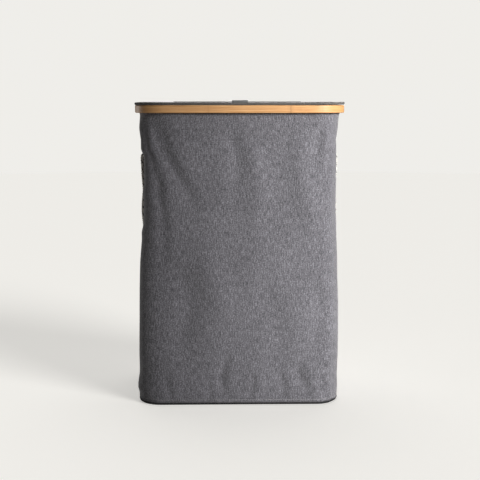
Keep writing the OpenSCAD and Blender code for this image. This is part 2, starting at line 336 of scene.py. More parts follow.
def rope_cotton(name, white, black, share):
    """Cotton strand: yarns wind round it along v, some of them black."""
    t = Tree(name)
    uv = t("SeparateXYZ", Vector=t.vec((1, 1, 1)))
    turn = t.math("MULTIPLY_ADD", uv.outputs[0], 260.0, uv.outputs[1])
    yarn = t.math("SINE", t.math("MULTIPLY", turn, 6.2832 * 3))
    fuzz = t.solid((1900, 1900, 1900), 3.0, 0.65)
    patch = t.flat(210, 2.0, 1.0, 0.5)
    base = t.tones(t.add((yarn, 0.14), (fuzz, 0.5)), 0.1, 0.45, shade(white, 0.62), white)
    tracer = t.math("SINE", t.math("MULTIPLY", turn, 6.2832))
    dark = t.grey(patch, 0.58 - share, 0.64 - share)
    dark = t.math("MULTIPLY", t.grey(tracer, 0.15, 0.45), dark)
    base = t.mix(dark, base, black)
    n = t.bump(yarn, 0.55, 0.0004)
    n = t.bump(fuzz, 0.5, 0.0003, n)
    return t.finish(base, 0.95, n, Sheen_Weight=0.35, Sheen_Roughness=0.6,
                    Specular_IOR_Level=0.15)


GREY = dict(dark=(0.035, 0.0340, 0.0385), mid=(0.087, 0.0845, 0.0950), light=(0.182, 0.177, 0.198))
M = {
    "wall": weave("woven_grey_wall", **GREY),
    "lid": weave("woven_grey_lid", dark=(0.052, 0.048, 0.046), mid=(0.094, 0.087, 0.085),
                 light=(0.165, 0.154, 0.148), streak=0.9),
    "binding": weave("woven_grey_binding", dark=(0.042, 0.038, 0.035), mid=(0.074, 0.068, 0.063),
                     light=(0.120, 0.112, 0.105), pitch=0.0007, streak=0.6, sheen=0.1),
    "tab": weave("woven_grey_tab", dark=(0.050, 0.053, 0.054), mid=(0.080, 0.084, 0.083),
                 light=(0.124, 0.131, 0.128), pitch=0.0009, streak=0.7, sheen=0.1),
    "base": weave("dark_base_cloth", dark=(0.009, 0.009, 0.010), mid=(0.016, 0.016, 0.017),
                  light=(0.032, 0.032, 0.033), streak=0.6, rough=0.85, sheen=0.0),
    "piping": weave("piping_cloth", dark=(0.038, 0.037, 0.039), mid=(0.070, 0.068, 0.073),
                    light=(0.125, 0.12, 0.13), pitch=0.0007, streak=0.6, sheen=0.05),
    "lining": plain_cloth("cream_lining", (0.68, 0.64, 0.56), vary=0.05, rough=0.6),
    "thread": plain_cloth("grey_thread", (0.11, 0.105, 0.105), vary=0.15),
    "thread_light": plain_cloth("light_thread", (0.30, 0.29, 0.285), vary=0.1),
    "cream_thread": plain_cloth("cream_thread", (0.52, 0.48, 0.40), vary=0.1),
    "steel": brushed("eyelet_nickel", (0.62, 0.61, 0.59), (600, 600, 600), (0.2, 0.34)),
    "staple": brushed("staple_wire", (0.56, 0.56, 0.55), (600, 600, 600), (0.25, 0.4)),
    "aluminium": brushed("rod_aluminium", (0.70, 0.71, 0.72)),
    "cap": plastic("cap_black_plastic", (0.028, 0.028, 0.03)),
    "fibreboard": board("base_fibreboard", (0.30, 0.20, 0.11)),
    "cardboard": board("lid_cardboard", (0.36, 0.25, 0.14)),
    "rope_white": rope_cotton("rope_white_strand", (0.80, 0.77, 0.70), (0.03, 0.03, 0.03), 0.10),
    "rope_fleck": rope_cotton("rope_fleck_strand", (0.78, 0.75, 0.68), (0.02, 0.02, 0.022), 0.34),
}


# ---------------------------------------------------------------- mesh helpers
def make(name, verts, faces, mats, uvs=None, face_mat=None):
    """A mesh object from vertices in millimetres. uvs is one (u, v) per face corner, metres."""
    me = bpy.data.meshes.new(name)
    me.from_pydata([(v[0] * MM, v[1] * MM, v[2] * MM) for v in verts], [], faces)
    for m in mats if isinstance(mats, (list, tuple)) else [mats]:
        me.materials.append(m)
    if uvs is not None:
        layer = me.uv_layers.new(name="metres")
        layer.data.foreach_set("uv", np.asarray(uvs, dtype=np.float32).ravel())
    if face_mat is not None:
        me.polygons.foreach_set("material_index", face_mat)
    me.polygons.foreach_set("use_smooth", [True] * len(me.polygons))
    me.update()
    ob = bpy.data.objects.new(name, me)
    bpy.context.scene.collection.objects.link(ob)
    return ob


class Builder:
    """Collects quads with their UVs and material numbers."""

    def __init__(self):
        self.v, self.f, self.uv, self.m = [], [], [], []

    def face(self, verts, uv=(0.01, 0.01), mat=0):
        """One face, with a UV for each corner or the same one for all."""
        self.f.append(verts)
        self.uv.extend(uv if isinstance(uv, list) else [uv] * len(verts))
        self.m.append(mat)

    def cap(self, first, count, flip=False, mat=0):
        """A flat end over the ring of vertices that starts at number first."""
        ring = list(range(first, first + count))
        self.face(ring[::-1] if flip else ring, (0, 0), mat)

    def grid(self, pts, uv, close_u=False, close_v=False, flip=False, wrap_u=None, wrap_v=None):
        """pts[i][j] with i along u, uv[i][j] in metres; the wraps are the full lengths."""
        ni, nj = len(pts), len(pts[0])
        base = len(self.v)
        for row in pts:
            self.v.extend(row)
        for i in range(ni if close_u else ni - 1):
            for j in range(nj if close_v else nj - 1):
                quad = [(i, j), (i + 1, j), (i + 1, j + 1), (i, j + 1)]
                if flip:
                    quad.reverse()
                corners = []
                for a, b in quad:
                    u, v = uv[a % ni][b % nj]
                    u = wrap_u if wrap_u and a == ni else u
                    v = wrap_v if wrap_v and b == nj else v
                    corners.append((u, v))
                self.face([base + a % ni * nj + b % nj for a, b in quad], corners)
        return base

    def tube(self, rows, us, vs, mat=0, closed=False):
        """Rings of points joined along u; us and vs have one value more where they close."""
        n, m = len(rows), len(rows[0])
        base = len(self.v)
        for row in rows:
            self.v.extend(row)
        for i in range(n if closed else n - 1):
            a, b = base + i * m, base + (i + 1) % n * m
            for j in range(m):
                j2 = (j + 1) % m
                uv = [(us[i], vs[j]), (us[i], vs[j + 1]), (us[i + 1], vs[j + 1]), (us[i + 1], vs[j])]
                self.face([a + j, a + j2, b + j2, b + j], uv, mat)
        return base

    def fan(self, ring, centre, flip=False):
        """Triangles from a ring to its centre, with UVs as seen from above."""
        base, n = len(self.v), len(ring)
        self.v.extend([*ring, centre])
        for i in range(n):
            tri = [base + i, base + (i + 1) % n, base + n]
            if flip:
                tri.reverse()
            self.face(tri, [(self.v[k][0] * MM, self.v[k][1] * MM) for k in tri])

    def capsule(self, a, b, r, mat=0, sides=5, up=(0, 0, 1)):
        """A short thread stitch from a to b with pinched ends."""
        a, b = Vector(a), Vector(b)
        d = (b - a).normalized()
        x = d.cross(Vector(up))
        x = x.normalized() if x.length > 1e-6 else d.orthogonal().normalized()
        y = x.cross(d)
        rows = []
        for t, s in ((0.0, 0.25), (0.18, 0.85), (0.5, 1.0), (0.82, 0.85), (1.0, 0.25)):
            c = a.lerp(b, t)
            rows.append([tuple(c + (x * math.cos(q) + y * math.sin(q)) * r * s)
                         for q in angles(sides)])
        uv = [[(0.001 * i, 0.0003 * j) for j in range(sides)] for i in range(len(rows))]
        faces = len(self.m)
        base = self.grid(rows, uv, close_v=True, flip=True)
        self.m[faces:] = [mat] * (len(self.m) - faces)
        self.cap(base, sides, mat=mat)
        self.cap(base + (len(rows) - 1) * sides, sides, flip=True, mat=mat)

    def object(self, name, mats):
        ob = make(name, self.v, self.f, mats, self.uv, self.m)
        bpy.context.view_layer.objects.active = ob
        return ob


def angles(n):
    return [2 * math.pi * k / n for k in range(n)]


def running(points):
    """The length along a line of points, at each of them."""
    lengths = [0.0]
    for p, q in zip(points, points[1:]):
        lengths.append(lengths[-1] + math.dist(p, q))
    return lengths


def done(ob, body, slot, *nodes):
    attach(ob, body)
    if nodes:
        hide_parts(*nodes)
    return ob


def fbm(x, y, seed=0.0, octaves=3):
    """Smooth noise about -1 to 1."""
    total, amp, norm = 0.0, 1.0, 0.0
    for k in range(octaves):
        f = 2.0 ** k
        total += amp * noise.noise(Vector((x * f + seed * 7.3, y * f - seed * 3.1, seed * 1.7)))
        norm += amp
        amp *= 0.5
    return total / norm


def smooth(a, b, x):
    t = max(0.0, min(1.0, (x - a) / (b - a)))
    return t * t * (3 - 2 * t)


# ---------------------------------------------------------------- the bag's shape, in millimetres
DROP_Z = [0, 1, 3, 7, 10, 26, 52, 102, 205, 287, 345, 408, 528, 551, 575, 580]
DROP = [9, 7.2, 5.8, 5, 5, 4.6, 6, 6.5, 7.8, 9.5, 11.4, 12.3, 14.1, 12, 10.5, 8.5]
TIGHT_Z = [0, 3, 10, 205, 345, 408, 528, 551, 575, 580]
TIGHT = [14, 10.8, 10, 12, 17, 20, 26.5, 20.5, 14, 8.5]
SAG = 3.5


def corner_radius(z):
    pulled = 9.0 * smooth(40, 110, z) * smooth(572, 520, z)
    return RIM_R - float(np.interp(z, TIGHT_Z, TIGHT)) - pulled


def dish(y, z):
    """The side walls are drawn in a little more behind the hanging ropes."""
    return 3.8 * smooth(98, 62, abs(y)) * smooth(285, 345, z) * smooth(478, 440, z)


def sink(z):
    rise = max(0.0, min(1.0, (z - WALL_Z0) / (RIM_Z0 - WALL_Z0)))
    return SAG * max(0.0, math.sin(math.pi * rise)) ** 0.6


SPLIT_Y = CY
FRONT_PARTS = (("side", 1, 42), ("arc", 3, 20), ("front", 0, 108), ("arc", 2, 20), ("side", -1, 42))
BACK_PARTS = (("rest", -1, 6), ("arc", 1, 16), ("back", 0, 84), ("arc", 0, 16), ("rest", 1, 6))


def around_columns(parts):
    cols = []
    for kind, which, n in parts:
        for i in range(n):
            cols.append((kind, which, i / n))
    kind, which, n = parts[-1]
    cols.append((kind, which, 1.0))
    return cols


def place(col, z, inset):
    """Point and outward normal of the bag's smooth shape at a column and height."""
    kind, which, f = col
    r = corner_radius(z) - inset
    drop = float(np.interp(z, DROP_Z, DROP))
    ax, ay = HX - drop - inset - r, HY - drop - inset - r
    s = sink(z)
    if kind == "side":
        y = (SPLIT_Y + (-ay - SPLIT_Y) * f) if which > 0 else (-ay + (SPLIT_Y + ay) * f)
        t = y / ay
        return which * (ax + r - s * (1 - t * t) - dish(y, z)), y, float(which), 0.0
    if kind == "rest":
        y = (SPLIT_Y + (ay - SPLIT_Y) * f) if which < 0 else (ay + (SPLIT_Y - ay) * f)
        t = y / ay
        return which * (ax + r - s * (1 - t * t)), y, float(which), 0.0
    if kind in ("front", "back"):
        d = 1 if kind == "back" else -1
        x = (-ax + 2 * ax * f) if kind == "back" else (ax - 2 * ax * f)
        t = x / ax
        return x, d * (ay + r - s * (1 - t * t)), 0.0, float(d)
    start = {3: 0.0, 2: -90.0, 1: 180.0, 0: 90.0}[which]
    q = math.radians(start - 90 * f)
    sx = 1 if which in (0, 3) else -1
    sy = 1 if which in (0, 1) else -1
    return sx * ax + r * math.cos(q), sy * ay + r * math.sin(q), math.cos(q), math.sin(q)


# folds in the front: from (x, z) to (x, z), half width, height (below zero for a valley)
FOLDS = (
    ((-174, 574), (-128, 430), 8.0, -1.7), ((-168, 577), (-86, 370), 12.0, -2.7),
    ((-186, 566), (-158, 372), 8.0, -1.7), ((-160, 470), (-152, 250), 11.0, -1.8),
    ((-14, 556), (-6, 385), 14.0, -1.5), ((30, 520), (36, 320), 19.0, 1.9),
    ((122, 540), (134, 320), 24.0, 2.4), ((172, 570), (132, 468), 8.5, -1.6),
    ((186, 560), (162, 420), 8.0, -1.2), ((-30, 104), (-38, 2), 9.5, -1.7),
    ((80, 70), (87, 2), 8.5, -1.3), ((116, 84), (134, 2), 10.0, -1.7),
    ((-120, 290), (-98, 60), 24.0, -3.0), ((-142, 66), (-138, 2), 7.0, -1.3),
    ((-64, 52), (-60, 2), 6.5, -1.0), ((24, 66), (20, 2), 6.5, -1.1),
    ((160, 66), (166, 2), 7.0, -1.2), ((60, 270), (72, 60), 24.0, -1.6),
    ((-60, 330), (-44, 150), 24.0, 1.8), ((150, 250), (160, 80), 16.0, -1.6),
)


FOLD_DEPTH = 2.25


def crease(x, z, p, q, width, height):
    """One soft fold with a shallower return beside it."""
    dx, dz = q[0] - p[0], q[1] - p[1]
    length = math.hypot(dx, dz)
    t = ((x - p[0]) * dx + (z - p[1]) * dz) / length ** 2
    if t < -0.1 or t > 1.1:
        return 0.0
    across = ((x - p[0]) * dz - (z - p[1]) * dx) / length / width
    if abs(across) > 4:
        return 0.0
    across += 0.35 * math.sin(t * 7 + p[0])
    fade = smooth(-0.08, 0.2, t) * smooth(1.08, 0.55, t)
    return height * fade * (math.exp(-across ** 2) - 0.35 * math.exp(-((across + 2.0) / 1.5) ** 2))


def wrinkle(x, y, z):
    """How far the cloth stands out of the smooth shape, by place on the bag."""
    up = (z - WALL_Z0) / (RIM_Z0 - WALL_Z0)
    a = math.atan2(y, x) * 130.0
    free = smooth(0.0, 0.05, up) * smooth(1.0, 0.95, up)
    w = 1.3 * fbm(a / 95, z / 170, 1.0, 2) + 0.55 * fbm(a / 26, z / 120, 2.0, 2)
    w += 0.22 * fbm(a / 9, z / 26, 3.0, 2)
    w *= free
    low, high = z - WALL_Z0, RIM_Z0 - z
    w += 0.75 * math.exp(-low / 22) * smooth(0, 4, low) * fbm(a / 8.5, z / 60, 4.0, 2) * 1.6
    w += 0.60 * math.exp(-high / 26) * smooth(0, 4, high) * fbm(a / 10, z / 60, 5.0, 2) * 1.6
    for px, reach in ((-1, 0.8), (1, 0.9)):
        dx = abs(x - px * HX)
        dz = RIM_Z0 - z
        if y > 60 and dx < 150 and dz < 210:
            along = (dx - 16) * 0.42 + dz * 0.91
            across = (dx - 16) * 0.91 - dz * 0.42
            fade = smooth(200, 40, along) * smooth(0, 18, dz)
            for k, width, amp in ((-6.0, 5.0, 1.0), (9.0, 6.0, 0.8), (26.0, 9.0, 0.55)):
                q = (across - k - 0.02 * along) / width
                w += reach * amp * 1.2 * fade * (math.exp(-q * q) - 0.7 * math.exp(-(q + 1.5) ** 2))
    facing = smooth(-92, -128, y)
    if facing > 0:
        for fold in FOLDS:
            w += FOLD_DEPTH * facing * smooth(0, 6, z - WALL_Z0) * crease(x, z, *fold)
    return w


def lean(x, y, z):
    """The way this bag has settled: the left edge bellies out and the right edge is drawn in."""
    side = smooth(60, 170, abs(x)) * smooth(-40, -90, y)
    if x < 0:
        out = np.interp(z, [0, 10, 17, 26, 37, 60, 102, 205, 286, 330, 345, 362, 400, 425, 440,
                            495, 508, 537, 549, 575, 580],
                        [1.0, 1.6, 2.2, 4.6, 5.0, 2.4, 2.2, 2.2, 1.9, -0.2, 0.4, -3.6, -3.6, -2.2,
                         -4.5, -4.3, 1.6, 2.9, 3.2, 0.4, 0.0])
        return -float(out) * side
    into = np.interp(z, [0, 10, 26, 60, 102, 205, 345, 441, 500, 528, 552, 575, 580],
                     [4.2, 4.2, 4.2, 3.6, 3.0, 2.4, 2.4, 2.6, 2.6, 3.6, 1.6, 0.0, 0.0])
    return -float(into) * side * smooth(178, 190, abs(x))


def bag_point(col, z, inset, crease=1.0):
    x, y, nx, ny = place(col, z, inset)
    bx, by, _, _ = place(col, z, 0.0)
    w = wrinkle(bx, by, z) * crease
    for gy in (-GRIP, GRIP):
        near = math.hypot(by - gy, z - EYE_Z)
        if abs(bx) > 150:
            w *= smooth(7.0, 26.0, near)
            w += 0.5 * smooth(30, 10, near) * math.cos(near * 0.35) * smooth(7, 11, near)
    return x + nx * w + lean(bx, by, z), y + ny * w, z


def heights(z0, z1, step, near=(), fine=1.5, reach=12):
    zs, z = [], z0
    while z < z1 - 1e-6:
        zs.append(z)
        close = min([abs(z - c) for c in near] or [1e9])
        z += fine if close < reach else step
    zs.append(z1)
    return zs


WALL_ZS = heights(WALL_Z0 - 1.0, RIM_Z0, 4.6, near=(WALL_Z0, RIM_Z0), fine=2.2, reach=14)


def shell(name, parts, outer, inner, mat, slot, node, zs=WALL_ZS, u0=0.0):
    """A thin closed sheet of the bag between two insets, and its length round in metres."""
    cols = around_columns(parts)
    us = running([place(c, 300.0, 0.0)[:2] for c in cols])
    uv = [[(u0 + u * MM, z * MM) for z in zs] for u in us]
    b = Builder()
    o = b.grid([[bag_point(c, z, outer) for z in zs] for c in cols], uv, flip=True)
    i = b.grid([[bag_point(c, z, inner) for z in zs] for c in cols], uv)
    n, m = len(cols), len(zs)
    last = (n - 1) * m
    edges = ([(i + c * m, o + c * m) for c in range(n)],
             [(o + c * m + m - 1, i + c * m + m - 1) for c in range(n)],
             [(o + z, i + z) for z in range(m)],
             [(i + last + z, o + last + z) for z in range(m)])
    for edge in edges:
        for (p, q), (r, s) in zip(edge, edge[1:]):
            b.face([p, q, s, r])
    return done(b.object(name, mat), "hamper", slot, node), us[-1] * MM


def full_ring(n_arc=16, n_front=60, n_side=40):
    """Columns all round, clockwise from the right seam."""
    return around_columns((("side", 1, n_side), ("arc", 3, n_arc), ("front", 0, n_front),
                           ("arc", 2, n_arc), ("side", -1, n_side), ("rest", -1, 5),
                           ("arc", 1, n_arc), ("back", 0, n_front), ("arc", 0, n_arc),
                           ("rest", 1, 5)))[:-1]


def rounded_profile(r0, r1, z0, z1, radius, steps=4):
    """A rectangle in (rho, z) with rounded corners, counter-clockwise."""
    pts = []
    for cx, cz, a0 in ((r1 - radius, z0 + radius, -90), (r1 - radius, z1 - radius, 0),
                       (r0 + radius, z1 - radius, 90), (r0 + radius, z0 + radius, 180)):
        for k in range(steps + 1):
            q = math.radians(a0 + 90 * k / steps)
            pts.append((cx + radius * math.cos(q), cz + radius * math.sin(q)))
    out = []
    for p, q in zip(pts, pts[1:] + pts[:1]):
        out.append(p)
        gap = math.hypot(p[0] - q[0], p[1] - q[1])
        for k in range(1, int(gap // 3) + 1):
            t = k / (int(gap // 3) + 1)
            out.append((p[0] + (q[0] - p[0]) * t, p[1] + (q[1] - p[1]) * t))
    return out


def rim_line(n_arc=20, step=5.0):
    """Stations round the rim: corner-centre base point and outward normal, anticlockwise
    from the middle of the back, with the running length at the outer face."""
    st = []

    def run(p, q, n):
        count = max(2, int(math.hypot(q[0] - p[0], q[1] - p[1]) / step))
        for k in range(count):
            t = k / count
            st.append((p[0] + (q[0] - p[0]) * t, p[1] + (q[1] - p[1]) * t, *n))

    def arc(c, a0):
        for k in range(n_arc):
            q = math.radians(a0 + 90 * k / n_arc)
            st.append((c[0], c[1], math.cos(q), math.sin(q)))

    run((0, CY), (-CX, CY), (0, 1))
    arc((-CX, CY), 90)
    run((-CX, CY), (-CX, -CY), (-1, 0))
    arc((-CX, -CY), 180)
    run((-CX, -CY), (CX, -CY), (0, -1))
    arc((CX, -CY), 270)
    run((CX, -CY), (CX, CY), (1, 0))
    arc((CX, CY), 0)
    run((CX, CY), (0, CY), (0, 1))
    outer = [(x + nx * RIM_R, y + ny * RIM_R) for x, y, nx, ny in st]
    return st, running(outer + outer[:1])


STATIONS, RIM_US = rim_line()


def ring_object(name, profile, mat, warp):
    """A closed band: the profile (rho from the corner centre, z) carried round the rim's line."""
    vs = running(profile + profile[:1])
    rows = [[warp(x + nx * rho, y + ny * rho, z, rho) for rho, z in profile]
            for x, y, nx, ny in STATIONS]
    uv = [[(u * MM, v * MM) for v in vs[:-1]] for u in RIM_US[:-1]]
    b = Builder()
    b.grid(rows, uv, close_u=True, close_v=True, wrap_u=RIM_US[-1] * MM, wrap_v=vs[-1] * MM)
    return b.object(name, mat)


# ---------------------------------------------------------------- rope handles (the cords first)
def resample(points, step):
    pts = [Vector(p) for p in points]
    out, carry = [pts[0]], 0.0
    for a, b in zip(pts, pts[1:]):
        d = (b - a).length
        t = step - carry
        while t <= d:
            out.append(a.lerp(b, t / d))
            t += step
        carry = d - (t - step)
    if (out[-1] - pts[-1]).length > step * 0.3:
        out.append(pts[-1])
    return out


def bezier(p0, p1, p2, p3, n):
    out = []
    for k in range(n):
        t = k / n
        s = 1 - t
        out.append(Vector(p0) * s ** 3 + Vector(p1) * 3 * s * s * t
                   + Vector(p2) * 3 * s * t * t + Vector(p3) * t ** 3)
    return out


def rope_path(side):
    """Right-hand rope's centreline, from behind one eyelet round the loop to the other."""
    x0 = EYE_X - 6.0
    lead, curve = 9.0, 62.0
    bottom = EYE_Z - LOOP_DROP
    tuck = 0.0 if side < 0 else 0.8

    drawn_z = [bottom, 345, 380, 400, 425, 450, 470, 486, EYE_Z]
    drawn_in = [-3.6, -3.4, -1.5, -2.2, -4.6, -2.6, -1.9, -0.9, -0.5]

    def out_at(z):
        return ROPE_X - tuck + float(np.interp(z, drawn_z, drawn_in))

    # the lead in from the eyelet, a straight drop, and the bottom's curve
    half = bezier((x0, GRIP, EYE_Z), (x0 + 6, GRIP, EYE_Z), (out_at(EYE_Z), GRIP, EYE_Z + 0.8),
                  (out_at(EYE_Z - lead), GRIP, EYE_Z - lead), 14)
    for k in range(40):
        t = k / 40
        z = EYE_Z - lead - (LOOP_DROP - curve - lead) * t
        half.append(Vector((out_at(z), GRIP + 1.5 * math.sin(math.pi * t), z)))
    for k in range(31):
        q = math.radians(90.0 * k / 30)
        z = bottom + curve - curve * math.sin(q)
        half.append(Vector((out_at(z), GRIP * math.cos(q), z)))
    for _ in range(3):
        inner = [(a + 2 * m + c) / 4 for a, m, c in zip(half, half[1:], half[2:])]
        half = [half[0], *inner, half[-1]]
    back = [Vector((p[0], -p[1], p[2])) for p in half[-2::-1]]
    return [Vector((side * p[0], p[1], p[2])) for p in half + back]


def twisted(b, centre, radius, pitch, sides=10, phase=0.0, mats=(0, 1, 0)):
    """A strand for each of mats, wound round a centreline into builder b, in millimetres."""
    n = len(centre)
    run = running(centre)
    tangents = [(centre[min(n - 1, i + 1)] - centre[max(0, i - 1)]).normalized() for i in range(n)]
    nrm = tangents[0].orthogonal().normalized()
    frames = []
    for t in tangents:
        nrm = (nrm - t * nrm.dot(t)).normalized()
        frames.append((nrm.copy(), t.cross(nrm)))
    strand_r = radius * 0.475
    for s, mat in enumerate(mats):
        line = []
        for c, (x, y), u in zip(centre, frames, run):
            q = 2 * math.pi * (u / pitch + s / len(mats)) + phase
            line.append(c + (x * math.cos(q) + y * math.sin(q)) * (radius - strand_r))
        rows = []
        for i, p in enumerate(line):
            t = (line[min(n - 1, i + 1)] - line[max(0, i - 1)]).normalized()
            out = p - centre[i]
            out = (out - t * out.dot(t)).normalized()
            side = t.cross(out)
            rows.append([tuple(p + (out * math.cos(a) + side * math.sin(a)) * strand_r)
                         for a in angles(sides)])
        base = b.tube(rows, [u * MM for u in run], [j / sides for j in range(sides + 1)], mat)
        b.cap(base, sides, flip=True, mat=mat)
        b.cap(base + (n - 1) * sides, sides, mat=mat)


def knot_path(side, y0):
    """A tight overhand knot behind the eyelet, with a short tail."""
    c = Vector((EYE_X - 12.2, y0, EYE_Z))
    pts = [Vector((EYE_X - 4.5, y0, EYE_Z)), Vector((EYE_X - 6.5, y0, EYE_Z))]
    for k in range(44):
        t = 0.6 + (2 * math.pi - 1.0) * k / 43
        u = math.sin(t) + 2 * math.sin(2 * t)
        v = math.cos(t) - 2 * math.cos(2 * t)
        w = -math.sin(3 * t)
        pts.append(c + Vector((w * 2.6, u * 1.75, v * 1.75)))
    last = pts[-1]
    pts += [last + Vector(d) for d in ((-1.5, 1.5, -4), (-2.0, 2.0, -9), (-1.6, 2.2, -13))]
    pts = resample(pts, 1.2)
    return [Vector((side * p[0], p[1], p[2])) for p in pts]


for side, label in ((-1, "left"), (1, "right")):
    line = resample(rope_path(side), 1.3)
    b = Builder()
    twisted(b, line, ROPE_D / 2, 15.5, phase=0.7)
    rope = b.object("rope_" + label, [M["rope_white"], M["rope_fleck"]])
    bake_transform(rope)
    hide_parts("rope_handle_" + label)
    b = Builder()
    for y0 in (-GRIP, GRIP):
        twisted(b, knot_path(side, y0), 2.5, 11.0, sides=8)
    knots = b.object("rope_knots_" + label + "_look", [M["rope_white"], M["rope_fleck"]])
    done(knots, "hamper", "cotton_rope", "rope_knots_" + label)


# ---------------------------------------------------------------- eyelets
def lathe(b, centre, axis, profile, steps):
    """A closed profile of (radius, height) pairs turned about an axis."""
    axis = Vector(axis)
    x = axis.orthogonal().normalized()
    y = axis.cross(x)
    rows = []
    for q in angles(steps):
        d = x * math.cos(q) + y * math.sin(q)
        rows.append([tuple(Vector(centre) + d * r + axis * h) for r, h in profile])
    uv = [[(0.001 * i, 0.001 * j) for j in range(len(profile))] for i in range(steps)]
    b.grid(rows, uv, close_u=True, close_v=True)


EYELET_PROFILE = [(4.35, -3.4), (4.35, 0.9), (4.6, 1.25), (5.4, 1.42), (6.4, 1.30), (7.2, 0.92),
                  (7.5, 0.45), (7.5, 0.25), (5.6, 0.25), (5.0, 0.1), (5.0, -3.4)]
for side, label in ((-1, "left"), (1, "right")):
    b = Builder()
    for y0 in (-GRIP, GRIP):
        lathe(b, (side * EYE_X, y0, EYE_Z), (side, 0, 0), EYELET_PROFILE, 36)
    done(b.object("eyelets_" + label + "_look", M["steel"]), "hamper", "eyelet_steel",
         "eyelets_" + label)


# ---------------------------------------------------------------- bag wall and lining
wall_front, front_len = shell("bag_wall_front", FRONT_PARTS, 0.0, CLOTH, M["wall"], "grey_weave",
                              "bag_front_wrap")
wall_back, back_len = shell("bag_wall_back", BACK_PARTS, 0.0, CLOTH, M["wall"], "grey_weave",
                            "bag_back_panel", u0=1.0)

LINING_PARTS = (("side", 1, 22), ("arc", 3, 12), ("front", 0, 72), ("arc", 2, 12), ("side", -1, 22),
                ("rest", -1, 4), ("arc", 1, 12), ("back", 0, 48), ("arc", 0, 12), ("rest", 1, 4))
LINING_ZS = heights(5.6, RIM_Z0, 7.0, near=(8, RIM_Z0), fine=4, reach=14)
lining, lining_len = shell("bag_lining_look", LINING_PARTS, 1.9, 2.6, M["lining"],
                           "cream_lining", "bag_lining", zs=LINING_ZS)

# seam piping and stitches up the two back corners
b = Builder()
zs = heights(WALL_Z0 + 1, RIM_Z0 - 1, 6.0)
for sx in (1, -1):
    col = ("side", sx, 0.0 if sx > 0 else 1.0)
    rows = []
    for z in zs:
        x, y, _ = bag_point(col, z, 0.0)
        rows.append([(x + 0.75 * math.cos(q), y + 1.3 * math.sin(q), z) for q in angles(8)])
    b.grid(rows, [[(k * 0.001, z * MM) for k in range(8)] for z in zs], close_v=True)
    z = WALL_Z0 + 5
    while z < RIM_Z0 - 6:
        p, q = bag_point(col, z, 0.0), bag_point(col, z + 2.6, 0.0)
        b.capsule((p[0] + sx * 0.15, p[1] - 4.0, p[2]), (q[0] + sx * 0.15, q[1] - 4.0, q[2]),
                  0.28, mat=1, up=(0, 1, 0))
        z += 3.8
seams = b.object("bag_seams", [M["wall"], M["thread"]])
done(seams, "hamper", "grey_weave")


# ---------------------------------------------------------------- bottom panel and piping
ring_cols = full_ring()


def corner_lift(x, y, z, e=0.0):
    """The base's corners curl a little off the floor."""
    near = smooth(229, 251, math.hypot(x, y * 1.12))
    top = 5.0 if (x > 0 and y < 0) else 1.4
    return top * near * smooth(5.5, 1.0, e) * smooth(70, 8, z)


def bottom_r_shift(x, y, z):
    """The front left corner of the base is squarer than the others."""
    if x < 0 and y < 0:
        return 2.5 * smooth(150, 185, -x) * smooth(100, 135, -y)
    return 0.0


def ring_at(z, inset, cols=ring_cols, crease=1.0):
    """The bag's outline at one height."""
    out = []
    for c in cols:
        x, y, zz = bag_point(c, z, inset, crease)
        _, _, nx, ny = place(c, z, inset)
        g = bottom_r_shift(x, y, z)
        out.append((x + nx * g, y + ny * g, zz))
    return out


def panel():
    """Dark base cloth: flat under the board, turned up at the edge to the piping."""
    us = ring_at(10.0, 0.0, crease=0.2)
    us = running(us + us[:1])
    prof = [(6.0, 0.0), (3.4, 0.15), (1.6, 0.9), (0.5, 2.4), (0.0, 4.6), (0.0, FOOT_Z)]
    b = Builder()
    rows, inner = [], []
    for c, u in zip(ring_cols, us):
        row, inner_row = [], []
        for e, z in prof:
            x, y, _ = ring_at(10.0, e, [c], crease=0.2)[0]
            pucker = 0.25 * fbm(u / 7, z / 6, 8.0, 2) * smooth(0.2, 3.0, z)
            _, _, nx, ny = place(c, 10.0, e)
            row.append((x + nx * pucker, y + ny * pucker, z + corner_lift(x, y, z, e)))
            x, y, _ = ring_at(10.0, e + CLOTH, [c], crease=0.2)[0]
            inner_row.append((x, y, max(z, 1.4)))
        rows.append(row)
        inner.append(inner_row)
    uv = [[(u * MM, z * MM) for e, z in prof] for u in us[:-1]]
    o = b.grid(rows, uv, close_u=True, flip=True, wrap_u=us[-1] * MM)
    b.fan([r[0] for r in rows], (0, 0, 0.0))
    i = b.grid(inner, uv, close_u=True, wrap_u=us[-1] * MM)
    b.fan([r[0] for r in inner], (0, 0, 1.4), flip=True)
    m = len(prof)
    for k in range(len(rows)):
        a, c = k * m + m - 1, (k + 1) % len(rows) * m + m - 1
        b.face([o + a, i + a, i + c, o + c])
    return b.object("bag_base_cloth", M["base"])


base_cloth = done(panel(), "hamper", "dark_base_fabric", "bag_bottom_panel")


def loop_tube(name, ring, radius, mat, uneven, seed, sides=10):
    """A soft cord carried round a closed ring of points."""
    us = running(ring + ring[:1])
    up = Vector((0, 0, 1))
    rows = []
    for i, p in enumerate(ring):
        t = (Vector(ring[(i + 1) % len(ring)]) - Vector(ring[i - 1])).normalized()
        out = t.cross(up).normalized()
        if out.dot(Vector((p[0], p[1], 0))) < 0:
            out = -out
        r = radius * (1 + uneven * fbm(us[i] / 11, seed, seed, 2))
        rows.append([tuple(Vector(p) + out * (r * math.cos(q)) + up * r * math.sin(q))
                     for q in angles(sides)])
    b = Builder()
    b.tube(rows, [u * MM for u in us],
           [2 * math.pi * radius * j / sides * MM for j in range(sides + 1)], closed=True)
    return b.object(name, mat)


def stitch_along(b, pts, length, radius):
    for p, q in zip(pts, pts[1:]):
        if (q - p).length > 0.1:
            b.capsule(p, p + (q - p).normalized() * length, radius)


